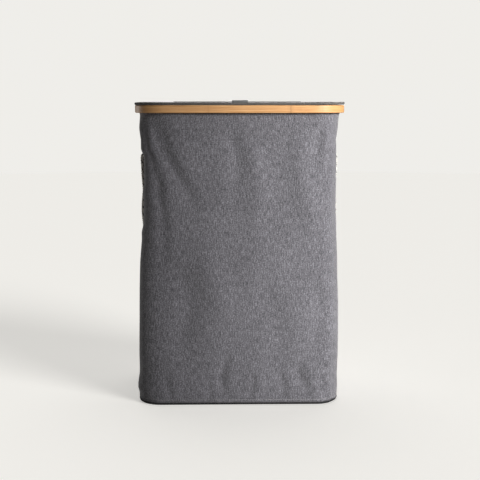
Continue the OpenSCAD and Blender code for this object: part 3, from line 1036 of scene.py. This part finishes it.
fine_cols = full_ring(24, 120, 80)
pipe_ring = [(x, y, FOOT_Z + 0.9 + corner_lift(x, y, FOOT_Z))
             for x, y, _ in ring_at(FOOT_Z + 0.9, 0.45, fine_cols, 0.3)]
piping = loop_tube("bag_piping_look", pipe_ring, 1.3, M["piping"], uneven=0.12, seed=3.0)
done(piping, "hamper", "piping", "bag_bottom_piping")

# topstitch just over the piping
b = Builder()
stitch_ring = [Vector((p[0], p[1], p[2] + corner_lift(*p)))
               for p in ring_at(WALL_Z0 + 3.2, -0.05, fine_cols)]
stitch_along(b, resample(stitch_ring + [stitch_ring[0]], 3.9), 2.7, 0.27)
done(b.object("base_stitches", [M["thread_light"]]), "hamper", "piping")


# ---------------------------------------------------------------- rim
BAMBOO_JOINTS = ((0.235, 0.5), (0.610, 0.35), (0.770, 0.75), (0.832, 0.30), (1.12, 0.6), (1.29, 0.4))


def rim_warp(x, y, z, rho):
    a = math.atan2(y, x) * 3
    return x, y, z + 0.12 * noise.noise(Vector((a, 0.3, z * 0.02)))


outer_profile = rounded_profile(RIM_R - BAND, RIM_R, RIM_Z0, RIM_Z1, 1.5)
rim_outer = ring_object("rim_band_look", outer_profile, bamboo("bamboo_outer", BAMBOO_JOINTS), rim_warp)
done(rim_outer, "hamper", "bamboo", "rim_outer_band")
inner_profile = rounded_profile(RIM_R - BAND - HEM - HOOP, RIM_R - BAND - HEM, RIM_Z0, RIM_Z1, 1.1)
inner_bamboo = bamboo("bamboo_inner", ((0.31, 0.5), (0.72, 0.5), (1.02, 0.4)), 0.92)
rim_inner = ring_object("rim_hoop_look", inner_profile, inner_bamboo, rim_warp)
done(rim_inner, "hamper", "bamboo", "rim_inner_hoop")
hem_profile = rounded_profile(RIM_R - 10.45, RIM_R - 8.55, RIM_Z0 - 0.6, RIM_Z1 - 0.7, 0.6, 2)


def hem_warp(x, y, z, rho):
    a = math.atan2(y, x) * 120
    return x, y, z + (0.5 * fbm(a / 9, 0.0, 6.0, 2) if z > RIM_Z1 - 6 else 0.0)


done(ring_object("bag_hem_look", hem_profile, M["wall"], hem_warp), "hamper", "grey_weave", "bag_hem")


# ---------------------------------------------------------------- lid
LID_Z0, LID_Z1 = LID_LO[2] / MM, LID_HI[2] / MM
LID_R = RIM_R + (LID_HI[0] / MM - HX)


def lid_wave(x, y):
    """How the thin lid's edge lifts and dips, in millimetres."""
    r = max(abs(x) / HX, abs(y) / HY)
    edge = smooth(0.55, 1.0, r)
    w = 0.55 * fbm(x / 90, y / 90, 11.0, 2) * edge
    w += 0.7 * smooth(120, 205, x) * smooth(-40, -120, y)
    w -= 0.25 * smooth(-150, -205, x) * smooth(-40, -120, y)
    return w


def padded(name, rows, centre_z, back_z, mat, down=False):
    """A sheet over rows that run from its edge inwards, closed by a flat back."""
    b = Builder()
    uv = [[(p[0] * MM, p[1] * MM) for p in row] for row in rows]
    top = b.grid(rows, uv, close_u=True, flip=down)
    b.fan([row[-1] for row in rows], (0, 0, centre_z), flip=down)
    low = [(row[0][0], row[0][1], back_z) for row in rows]
    base, n, m = len(b.v), len(rows), len(rows[0])
    b.v.extend(low)
    for i in range(n):
        i2 = (i + 1) % n
        quad = [top + i * m, base + i, base + i2, top + i2 * m]
        b.face(quad if down else quad[::-1])
    b.fan(low, (0, 0, back_z), flip=not down)
    return b.object(name, mat)


def lid_skin(name, z_flat, outward, crown):
    """One covered face of the lid: a slightly padded sheet that runs in under the binding."""
    rows = []
    for x, y, nx, ny in STATIONS:
        ex, ey = x + nx * (LID_R - 1.0), y + ny * (LID_R - 1.0)
        row = []
        for f in (1.0, 0.985, 0.965, 0.94, 0.90, 0.84, 0.76, 0.66, 0.54, 0.40, 0.26, 0.12):
            px, py = ex * f, ey * f
            puff = crown * (1 - smooth(0.90, 1.0, f)) + 0.22 * fbm(px / 34, py / 34, 12.0, 3)
            seam = -0.45 * math.exp(-((f - 0.955) / 0.012) ** 2)
            row.append((px, py, z_flat + outward * (puff + seam) + lid_wave(px, py)))
        rows.append(row)
    return padded(name, rows, z_flat + outward * crown + lid_wave(0, 0),
                  z_flat - outward * 0.45, M["lid"], outward < 0)


lid_top = lid_skin("lid_cloth_top", LID_Z1 - 0.25, 1, 0.45)
done(lid_top, "lid", "grey_weave", "lid_top_cover")
lid_under = lid_skin("lid_cloth_under", LID_Z0 + 0.25, -1, 0.1)
done(lid_under, "lid", "grey_weave", "lid_bottom_cover")

bind_profile = rounded_profile(LID_R - 7.0, LID_R + 0.15, LID_Z0 + 0.45, LID_Z1 + 0.2, 1.5, 4)


def bind_warp(x, y, z, rho):
    a = math.atan2(y, x) * 150
    out = 0.22 * fbm(a / 14, z / 5, 13.0, 2) if rho > LID_R - 2 else 0.0
    r = math.hypot(x, y) or 1
    pinch = 0.30 * fbm(a / 6, 0, 14.0, 2) * (1 if z > LID_Z0 + 2.3 else -0.4)
    return x + x / r * out, y + y / r * out, z + lid_wave(x, y) + pinch


binding = ring_object("lid_binding_look", bind_profile, M["binding"], bind_warp)
done(binding, "lid", "grey_binding", "lid_binding")

b = Builder()
line = []
for x, y, nx, ny in STATIONS:
    px, py = x + nx * (LID_R - 5.2), y + ny * (LID_R - 5.2)
    line.append(Vector((px, py, LID_Z1 + 0.28 + lid_wave(px, py))))
stitch_along(b, resample(line + [line[0]], 4.3), 3.0, 0.28)
done(b.object("lid_stitches", [M["thread"]]), "lid", "grey_binding")

# pull tab: one strip folded into a loop and sewn down at the lid's front edge
TAB_LO, TAB_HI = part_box("lid_pull_tab")
tab_y, tab_z = TAB_LO[1] / MM + 0.8, TAB_LO[2] / MM + 0.8
tab_len = (TAB_HI[1] - TAB_LO[1]) / MM - 0.8
tab_h = (TAB_HI[2] - TAB_LO[2]) / MM
tab_w = (TAB_HI[0] - TAB_LO[0]) / MM


def tab_section():
    """Centreline of the folded strip in (y, z) from the lower sewn end round to the upper."""
    r = tab_h / 2 - 0.45
    cy, cz = tab_y + tab_len - tab_h / 2, tab_z - 0.8 + tab_h / 2
    pts = [(tab_y - 0.3, tab_z - 0.38), (tab_y + 4, tab_z - 0.38), (tab_y + 12, tab_z - 0.36),
           (tab_y + 22, tab_z - 0.36), (cy - 3, cz - r), (cy, cz - r)]
    for k in range(1, 12):
        q = math.radians(-90 + 15 * k)
        pts.append((cy + r * math.cos(q), cz + r * math.sin(q)))
    pts += [(cy, cz + r), (cy - 4, cz + r - 0.15), (tab_y + 22, cz + r - 0.9),
            (tab_y + 14, tab_z + 1.25), (tab_y + 8, tab_z + 0.75), (tab_y + 4, tab_z + 0.48),
            (tab_y - 0.3, tab_z + 0.42)]
    return pts


def ribbon(name, section, x0, x1, thick, mat, bulge, slices=18):
    """A flat strip of cloth along a line in the y-z plane, x0 to x1 wide and thick deep."""
    n = len(section)
    ls = running(section)
    ring = [(s / slices, 1) for s in range(slices + 1)]
    ring += [(s / slices, -1) for s in range(slices, -1, -1)]
    rows, uv = [], []
    for i, (y, z) in enumerate(section):
        a, c = section[max(0, i - 1)], section[min(n - 1, i + 1)]
        ty, tz = c[0] - a[0], c[1] - a[1]
        k = math.hypot(ty, tz) or 1
        row, ur = [], []
        for f, sign in ring:
            x = x0 + (x1 - x0) * f
            edge = min(f, 1 - f) * (x1 - x0)
            t = thick / 2 * (0.55 + 0.45 * smooth(0, 1.0, edge)) * sign
            dy, dz = bulge(x, ls[i], i)
            row.append((x, y - tz / k * t + dy, z + ty / k * t + dz))
            ur.append((x * MM, ls[i] * MM))
        rows.append(row)
        uv.append(ur)
    b = Builder()
    base = b.grid(rows, uv, close_v=True)
    b.cap(base, len(ring))
    b.cap(base + (n - 1) * len(ring), len(ring), flip=True)
    return b.object(name, mat)


def tab_bulge(x, run, i):
    return 0.25 * fbm(x / 14, run / 16, 21.0, 2), 0.14 * fbm(x / 9, run / 12, 22.0, 2)


tab = ribbon("pull_tab_loop", tab_section(), -tab_w / 2, tab_w / 2, 0.85, M["tab"], tab_bulge)
done(tab, "pull_tab", "tab_fabric", "lid_pull_tab")
b = Builder()
for row_y in (tab_y + 2.2, tab_y + 5.4):
    x = -tab_w / 2 + 2.2
    while x < tab_w / 2 - 3:
        z = tab_z + 0.92 + (row_y - tab_y - 2.2) * 0.035
        b.capsule((x, row_y, z), (x + 2.0, row_y, z), 0.22)
        x += 2.9
done(b.object("tab_stitches", [M["thread_light"]]), "pull_tab", "tab_fabric")

# hinge tape: one strip from the rim's back face over to the lid's back edge
TAPE_LO, TAPE_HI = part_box("hinge_tape_rim")
tape_line = [(HY + dy, RIM_Z0 + dz) for dy, dz in (
    (0.5, 2.2), (0.5, 5), (0.5, 8), (0.6, 10), (1.3, 11.6), (2.9, 12.8), (4.2, 14.2), (4.6, 15.8),
    (4.1, 17.4), (3.0, 18.8), (1.6, 19.9), (0.2, 20.6), (-2.0, 20.9), (-5.0, 20.95), (-8.5, 20.95))]


def tape_bulge(x, run, i):
    k = smooth(0, 3, i) * smooth(14, 11, i)
    return 0.35 * k * fbm(x / 24, run / 12, 31.0, 2), 0.2 * k * fbm(x / 20, run / 9, 32.0, 2)


tape = ribbon("hinge_tape", tape_line, TAPE_LO[0] / MM, TAPE_HI[0] / MM, 0.8, M["binding"],
              tape_bulge, slices=70)
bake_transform(tape)
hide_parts("hinge_tape_rim", "hinge_tape_lid")


# ---------------------------------------------------------------- inside: pad, sleeves
def base_pad():
    """Cream cloth over the base board, a little loose."""
    lo, hi = (v[2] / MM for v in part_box("base_cover"))
    rows = []
    for x, y, nx, ny in STATIONS:
        ex, ey = (x + nx * RIM_R) * (HX - 10.5) / HX, (y + ny * RIM_R) * (HY - 10.5) / HY
        row = []
        for f in (1.0, 0.985, 0.95, 0.90, 0.82, 0.72, 0.60, 0.46, 0.30, 0.15):
            px, py = ex * f, ey * f
            z = hi + 0.1 + 0.5 * max(0.0, fbm(px / 60, py / 60, 41.0, 3)) - 0.6 * smooth(0.97, 1.0, f)
            row.append((px, py, z))
        rows.append(row)
    return padded("base_pad_look", rows, hi + 0.2, lo, M["lining"])


pad = done(base_pad(), "hamper", "cream_lining", "base_cover")

CORNERS = ((-1, -1, "front_left"), (1, -1, "front_right"), (-1, 1, "back_left"), (1, 1, "back_right"))
for sx, sy, label in CORNERS:
    lo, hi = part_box("sleeve_" + label)
    cx0, cy0 = (lo[0] + hi[0]) / 2 / MM, (lo[1] + hi[1]) / 2 / MM
    r = (hi[0] - lo[0]) / 2 / MM
    zs = heights(lo[2] / MM, hi[2] / MM, 5.0)
    outward = math.atan2(sy, sx)
    b = Builder()
    rows = []
    for z in zs:
        row = []
        for q in angles(20):
            rr = r * (1.0 + 0.05 * fbm(q * 2, z / 16, 50 + sx + 2 * sy, 2))
            # flatter towards the corner, with a seam allowance on each side
            rr -= 0.042 * r if math.cos(q - outward) > 0.3 else 0.0
            rr += 2.6 * math.exp(-((abs(math.sin(q - outward)) - 1) / 0.10) ** 2)
            row.append((cx0 + rr * math.cos(q), cy0 + rr * math.sin(q), z))
        rows.append(row)
    uv = [[(k * 0.0013, z * MM) for k in range(20)] for z in zs]
    base = b.grid(rows, uv, close_v=True)
    b.cap(base, 20, flip=True)
    b.cap(base + (len(zs) - 1) * 20, 20)
    for s in (-1, 1):
        q = outward + s * math.pi / 2
        z = zs[0] + 4
        while z < zs[-1] - 6:
            px, py = cx0 + math.cos(q) * (r + 1.7), cy0 + math.sin(q) * (r + 1.7)
            px -= math.cos(outward) * 0.75
            py -= math.sin(outward) * 0.75
            b.capsule((px, py, z), (px, py, z + 2.6), 0.25, mat=1, up=(sx, sy, 0))
            z += 4.2
    done(b.object("sleeve_" + label + "_look", [M["lining"], M["cream_thread"]]), "hamper",
         "cream_lining", "sleeve_" + label)


# ---------------------------------------------------------------- CAD nodes that stay, with finishes
KEEP = {
    "rim_staples": "staple", "base_board": "fibreboard", "lid_board": "cardboard",
    "rod_front_left": "aluminium", "rod_front_right": "aluminium", "rod_back_left": "aluminium",
    "rod_back_right": "aluminium", "rod_foot_caps": "cap", "rod_top_caps": "cap",
    "eyelet_washers": "steel",
}
for node, key in KEEP.items():
    me = frame["nodes"][node].data
    me.materials.clear()
    me.materials.append(M[key])


# ---------------------------------------------------------------- stage and light
STAGE_R = 7.0
STAGE_TOP = 6.0
STAGE_SIDES = 96
STAGE_GLOW = 0.46
WALL_GLOW = 0.865
FLOOR_SUN = 2.00
FLOOR_TOP = 0.92
WARM = (1.0, 0.99, 0.975)


def collection(name, objects):
    """A set of objects that a light reaches; it isn't part of the scene itself."""
    c = bpy.data.collections.new(name)
    for o in objects:
        c.objects.link(o)
    return c


def stage_ring(z):
    return [(STAGE_R / MM * math.cos(q), STAGE_R / MM * math.sin(q), z) for q in angles(STAGE_SIDES)]


def stage_floor():
    """A round pale floor that glows a little, so that it stays pale under a soft light."""
    t = Tree("stage_paper")
    s = t.solid((2, 2, 2), 2.0, 0.5)
    base = t.tones(s, 0.3, 0.7, (0.835, 0.826, 0.796), (0.840, 0.831, 0.801))
    paper = t.finish(base, 0.95, None, Specular_IOR_Level=0.1, Emission_Strength=STAGE_GLOW,
                     Emission_Color=(1.0, 0.985, 0.945))
    return make("stage_floor", stage_ring(0), [list(range(STAGE_SIDES))], paper)


def stage_wall():
    """A far pale wall all round, the colour of the lit floor."""
    n = STAGE_SIDES
    faces = [[k, n + k, n + (k + 1) % n, (k + 1) % n] for k in range(n)]
    faces.append([n + k for k in range(n)][::-1])
    t = Tree("stage_wall_paper")
    s = t.solid((2, 2, 2), 2.0, 0.5)
    tone = t.tones(s, 0.3, 0.7, (1.0, 0.985, 0.945), (1.0, 0.987, 0.949))
    paper = t.finish((0.0, 0.0, 0.0), 1.0, None, Specular_IOR_Level=0.0,
                     Emission_Strength=WALL_GLOW, Emission_Color=tone)
    return make("stage_wall", stage_ring(0.0) + stage_ring(STAGE_TOP / MM), faces, paper)


def light(name, kind, facing, strength, only):
    """A light turned to face along a direction, for the objects in one collection."""
    d = bpy.data.lights.new(name, kind)
    d.energy = strength
    d.color = WARM
    o = bpy.data.objects.new(name, d)
    bpy.context.scene.collection.objects.link(o)
    o.rotation_euler = Vector(facing).to_track_quat("-Z", "Y").to_euler()
    o.light_linking.receiver_collection = only
    return o


def lamp(name, at, target, size, watts, only, size_y=None):
    """A soft box, which the camera doesn't see."""
    o = light(name, "AREA", Vector(target) - Vector(at), watts, only)
    o.data.shape = "RECTANGLE"
    o.data.size, o.data.size_y = size, size_y or size
    o.location = at
    o.visible_camera = False
    return o.data


def sun(name, towards, strength, angle, only):
    """A soft sun that only the object blocks, because the far wall would shade the floor."""
    o = light(name, "SUN", towards, strength, only)
    o.data.angle = math.radians(angle)
    o.light_linking.blocker_collection = object_set


object_set = collection("the_object", [o for o in bpy.context.scene.objects if o.type == "MESH"])
metal_set = collection("the_metal", [o for o in bpy.context.scene.objects
                                     if o.name.startswith(("eyelet", "rim_staples", "rod_"))])
inside_set = collection("the_inside", [o for o in bpy.context.scene.objects if o.name.startswith(
    ("bag_lining_look", "base_pad_look", "sleeve_", "rope_knots", "rod_top_caps", "eyelet_washers"))])
floor, wall = stage_floor(), stage_wall()
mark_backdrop(floor, wall)
stage_set = collection("the_stage", [floor])
for glowing in (floor, wall):
    glowing.light_linking.receiver_collection = metal_set

key = lamp("key", (1.08, -1.40, 0.97), (0.215, -0.155, 0.51), 0.25, 5.25, object_set, 1.3)
key.spread = math.radians(26.5)
lamp("over", (0.5, -0.3, 1.9), (0, 0, 0.4), 0.9, 0.2, object_set)
lamp("fill_left", (-2.1, 1.3, 0.5), (0, 0, 0.3), 0.8, 12.0, object_set)
lamp("back_right", (0.35, 2.5, 0.4), (0, 0, 0.3), 0.7, 62.0, object_set, 0.4)
lamp("back_left", (-0.35, 2.5, 0.4), (0, 0, 0.3), 0.7, 30.0, object_set, 0.4)
lamp("inside", (0.1, -0.1, 1.5), (0, 0, 0.1), 0.5, 7.0, inside_set)
sun("floor_shadow", (-2.1, 2.0, -1.15), FLOOR_SUN, 26, stage_set)
sun("floor_soft", (0.0, -0.45, -1.0), FLOOR_TOP, 50, stage_set)
world = bpy.data.worlds.new("studio")
world.use_nodes = True
bg = world.node_tree.nodes["Background"]
bg.inputs[0].default_value = (*WARM, 1)
bg.inputs[1].default_value = 0.03
bpy.context.scene.world = world
bpy.context.scene.view_settings.view_transform = "Standard"

lo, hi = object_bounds()
